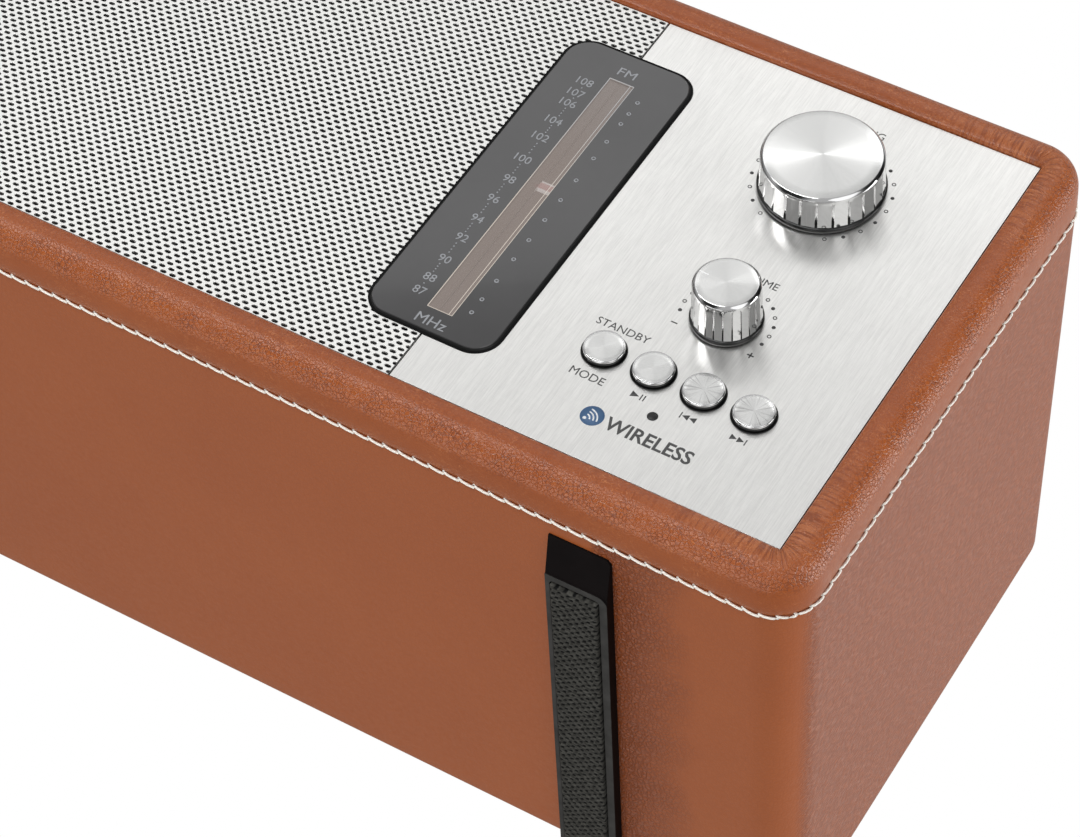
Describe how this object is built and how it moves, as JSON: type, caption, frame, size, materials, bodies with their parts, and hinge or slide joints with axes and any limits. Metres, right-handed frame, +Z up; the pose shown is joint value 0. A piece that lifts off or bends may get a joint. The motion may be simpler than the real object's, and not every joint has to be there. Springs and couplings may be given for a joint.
{
  "type": "leather portable radio",
  "caption": "Leather covered box radio with a perforated grille, slide-rule dial, turned knobs, press buttons, foot rails, folding handle and telescopic antenna.",
  "frame": {"origin": "on the table, under the middle of the whole radio", "axes": "+Z up, the front faces -Y, +X to the right of someone looking at the front"},
  "size_m": [0.38, 0.1921, 0.1918],
  "materials": {
    "leather": "pebbled, satin",
    "board": "raw fibreboard",
    "rear_board": "fine black texture",
    "grille_metal": "satin silver",
    "cloth": "black weave",
    "aluminium": "vertical brushed",
    "seal": "matt",
    "smoked_acrylic": "polished",
    "clear_acrylic": "polished",
    "frosted_acrylic": "frosted",
    "steel": "satin",
    "cord": "braided",
    "moulded": "moulded",
    "black_plastic": "semi gloss",
    "circuit_board": "solder mask",
    "speaker_steel": "black paint",
    "cone_paper": "pressed paper",
    "ferrite": "ground",
    "cell_jacket": "printed sleeve",
    "contact_brass": "plated",
    "chrome": "polished",
    "foot_moulding": "satin black",
    "foot_rubber": "fine twill pattern",
    "pointer_plastic": "polished",
    "spun_metal": "spun face, polished flutes",
    "thread": "waxed thread",
    "dial_print": "screen print",
    "panel_print": "screen print",
    "ring_plastic": "semi gloss black"
  },
  "bodies": {
    "cabinet": {"cabinet_shell": "board", "leather_wrap": "leather", "front_bolster": "leather", "front_baffle": "board", "grille_cloth": "cloth", "grille_mesh": "grille_metal", "control_panel": "aluminium", "dial_gasket": "seal", "dial_lens": "smoked_acrylic", "dial_window": "clear_acrylic", "light_guide": "frosted_acrylic", "mechanism_bracket": "steel", "dial_cord": "cord", "tuning_capacitor": "moulded", "volume_potentiometer": "steel", "button_collars": "black_plastic", "switch_board": "circuit_board", "indicator_lens": "frosted_acrylic", "left_speaker_frame": "speaker_steel", "left_speaker_cone": "cone_paper", "left_speaker_magnet": "ferrite", "right_speaker_frame": "speaker_steel", "right_speaker_cone": "cone_paper", "right_speaker_magnet": "ferrite", "rear_panel": "rear_board", "battery_tray": "moulded", "batteries": "cell_jacket", "battery_contacts": "contact_brass", "bass_port": "moulded", "aux_jack": "steel", "dc_jack": "moulded", "rear_screws": "steel", "main_board": "circuit_board", "antenna_base": "chrome", "antenna_rest": "moulded", "left_foot": "foot_moulding", "left_foot_pad": "foot_rubber", "right_foot": "foot_moulding", "right_foot_pad": "foot_rubber", "foot_screws": "steel", "handle_posts": "chrome"},
    "tuning_knob": {"tuning_knob": "spun_metal", "tuning_shaft": "steel"},
    "dial_pointer": {"dial_pointer": "pointer_plastic"},
    "upper_idler": {"upper_idler": "moulded"},
    "lower_idler": {"lower_idler": "moulded"},
    "volume_knob": {"volume_knob": "spun_metal", "volume_shaft": "steel"},
    "standby_button": {"standby_button": "spun_metal"},
    "play_button": {"play_button": "spun_metal"},
    "previous_button": {"previous_button": "spun_metal"},
    "next_button": {"next_button": "spun_metal"},
    "battery_door": {"battery_door": "rear_board"},
    "antenna_swivel": {"antenna_swivel": "chrome"},
    "antenna_section_1": {"antenna_section_1": "chrome"},
    "antenna_section_2": {"antenna_section_2": "chrome"},
    "antenna_section_3": {"antenna_section_3": "chrome"},
    "antenna_section_4": {"antenna_section_4": "chrome"},
    "handle": {"handle_bail": "chrome", "handle_grip": "leather"}
  },
  "joints": [
    {"name": "tuning_turn", "type": "hinge", "parent": "cabinet", "child": "tuning_knob", "pos_m": [0.12925, -0.08165, 0.1308], "axis": [0, 1, 0], "range_deg": [-165.42, 134.58]},
    {"name": "pointer_travel", "type": "slide", "parent": "cabinet", "child": "dial_pointer", "axis": [0, 0, 1], "range_m": [-0.0489, 0.0398]},
    {"name": "upper_idler_turn", "type": "hinge", "parent": "cabinet", "child": "upper_idler", "pos_m": [0.08305, -0.05665, 0.14575], "axis": [0, 1, 0], "range_deg": [-705, 570]},
    {"name": "lower_idler_turn", "type": "hinge", "parent": "cabinet", "child": "lower_idler", "pos_m": [0.08305, -0.05665, 0.03575], "axis": [0, 1, 0], "range_deg": [-705, 570]},
    {"name": "volume_turn", "type": "hinge", "parent": "cabinet", "child": "volume_knob", "pos_m": [0.1298, -0.08165, 0.0762], "axis": [0, 1, 0], "range_deg": [-34.5, 215]},
    {"name": "standby_press", "type": "slide", "parent": "cabinet", "child": "standby_button", "axis": [0, 1, 0], "range_m": [0, 0.0012], "stiffness_N_per_m": 500, "springref_m": -0.001},
    {"name": "play_press", "type": "slide", "parent": "cabinet", "child": "play_button", "axis": [0, 1, 0], "range_m": [0, 0.0012], "stiffness_N_per_m": 500, "springref_m": -0.001},
    {"name": "previous_press", "type": "slide", "parent": "cabinet", "child": "previous_button", "axis": [0, 1, 0], "range_m": [0, 0.0012], "stiffness_N_per_m": 500, "springref_m": -0.001},
    {"name": "next_press", "type": "slide", "parent": "cabinet", "child": "next_button", "axis": [0, 1, 0], "range_m": [0, 0.0012], "stiffness_N_per_m": 500, "springref_m": -0.001},
    {"name": "battery_door_swing", "type": "hinge", "parent": "cabinet", "child": "battery_door", "pos_m": [0.004, 0.08505, 0.032], "axis": [-1, 0, 0], "range_deg": [0, 110]},
    {"name": "antenna_turn", "type": "hinge", "parent": "cabinet", "child": "antenna_swivel", "pos_m": [0.15, 0.09185, 0.15], "axis": [0, 1, 0], "range_deg": [0, 225]},
    {"name": "antenna_tilt", "type": "hinge", "parent": "antenna_swivel", "child": "antenna_section_1", "pos_m": [0.15, 0.09185, 0.15], "axis": [0, 0, -1], "range_deg": [0, 90]},
    {"name": "antenna_pull_1", "type": "slide", "parent": "antenna_section_1", "child": "antenna_section_2", "axis": [-1, 0, 0], "range_m": [0, 0.15]},
    {"name": "antenna_pull_2", "type": "slide", "parent": "antenna_section_2", "child": "antenna_section_3", "axis": [-1, 0, 0], "range_m": [0, 0.15]},
    {"name": "antenna_pull_3", "type": "slide", "parent": "antenna_section_3", "child": "antenna_section_4", "axis": [-1, 0, 0], "range_m": [0, 0.15]},
    {"name": "handle_lift", "type": "hinge", "parent": "cabinet", "child": "handle", "pos_m": [0, -0.01165, 0.185], "axis": [1, 0, 0], "range_deg": [0, 180]}
  ],
  "couplings": [
    {"joint": "pointer_travel", "follows": "tuning_turn", "m_per_rad": 0.016902},
    {"joint": "upper_idler_turn", "follows": "tuning_turn", "ratio": 4.2256},
    {"joint": "lower_idler_turn", "follows": "tuning_turn", "ratio": 4.2256}
  ]
}
